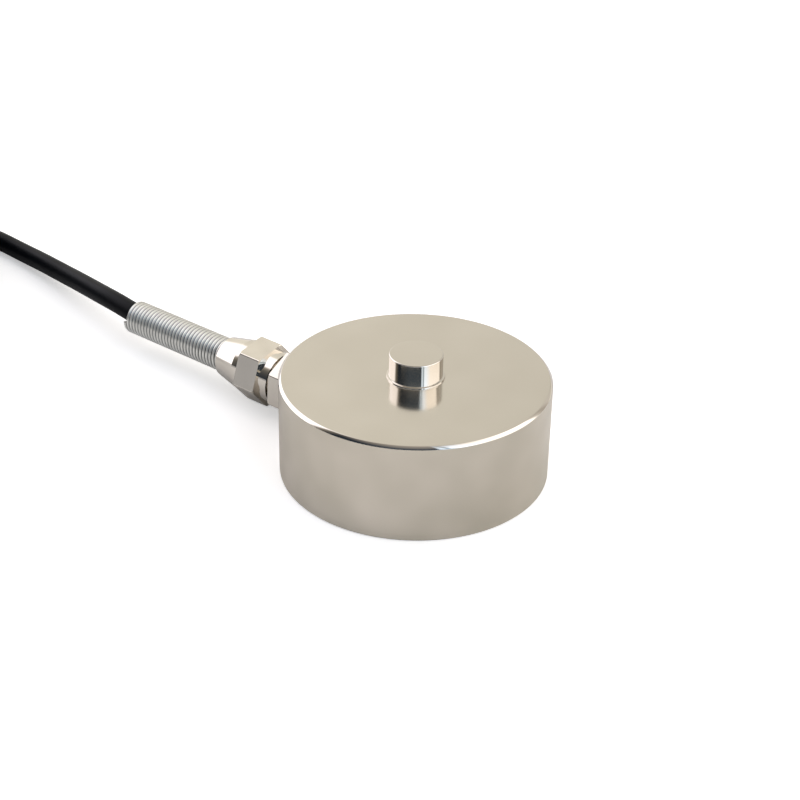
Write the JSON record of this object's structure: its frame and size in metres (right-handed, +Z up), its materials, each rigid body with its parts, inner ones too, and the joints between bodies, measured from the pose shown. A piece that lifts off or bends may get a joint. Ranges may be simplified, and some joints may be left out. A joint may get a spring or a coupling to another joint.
{
  "type": "miniature load cell",
  "caption": "Round steel button load cell with tapped base holes, a side cable gland with a coiled strain relief spring, and a thin screened cable ending in colour-coded leads.",
  "frame": {"origin": "centre of the base plane, on the axis of the body and of the circle of tapped holes", "axes": "+Z up along the load axis through the button, +X outward along the cable gland's axis, +Y completing a right-handed frame"},
  "size_m": [0.1606, 0.0596, 0.0181],
  "materials": {
    "body_metal": "turned stainless steel, satin-polished faces with a bright chamfer",
    "plated_metal": "bright nickel plate on turned brass",
    "spring_wire": "drawn stainless spring wire",
    "gauge_film": "amber polyimide film with a foil grid",
    "bridge_copper": "enamelled copper wire",
    "board_green": "green glass-fibre board with copper pads",
    "resistor_body": "black-glazed ceramic chip with tinned ends",
    "seal_rubber": "moulded black nitrile rubber",
    "washer_brass": "plain stamped brass",
    "cable_jacket": "smooth black PVC with a soft shine",
    "sleeve_black": "shrunk polyolefin tube",
    "tie_ribbon": "plastic-coated wire ribbon",
    "core_red": "coloured PVC insulation",
    "core_black": "coloured PVC insulation",
    "core_green": "coloured PVC insulation",
    "core_white": "coloured PVC insulation"
  },
  "bodies": {
    "root": {"elastic_body": "body_metal", "bottom_cover": "body_metal", "gauge_1": "gauge_film", "bridge_wire_1": "bridge_copper", "gauge_2": "gauge_film", "bridge_wire_2": "bridge_copper", "gauge_3": "gauge_film", "bridge_wire_3": "bridge_copper", "gauge_4": "gauge_film", "bridge_wire_4": "bridge_copper", "terminal_board": "board_green", "balance_resistor_1": "resistor_body", "balance_resistor_2": "resistor_body", "core_red": "core_red", "core_black": "core_black", "core_green": "core_green", "core_white": "core_white", "gland_body": "plated_metal", "gland_o_ring": "seal_rubber", "gland_seal": "seal_rubber", "thrust_washer": "washer_brass", "cap_nut": "plated_metal", "strain_spring": "spring_wire", "cable": "cable_jacket", "cable_coil": "cable_jacket", "coil_tie": "tie_ribbon", "cable_tail": "cable_jacket", "end_sleeve": "sleeve_black", "lead_red": "core_red", "lead_black": "core_black", "lead_green": "core_green", "lead_white": "core_white"}
  },
  "joints": []
}
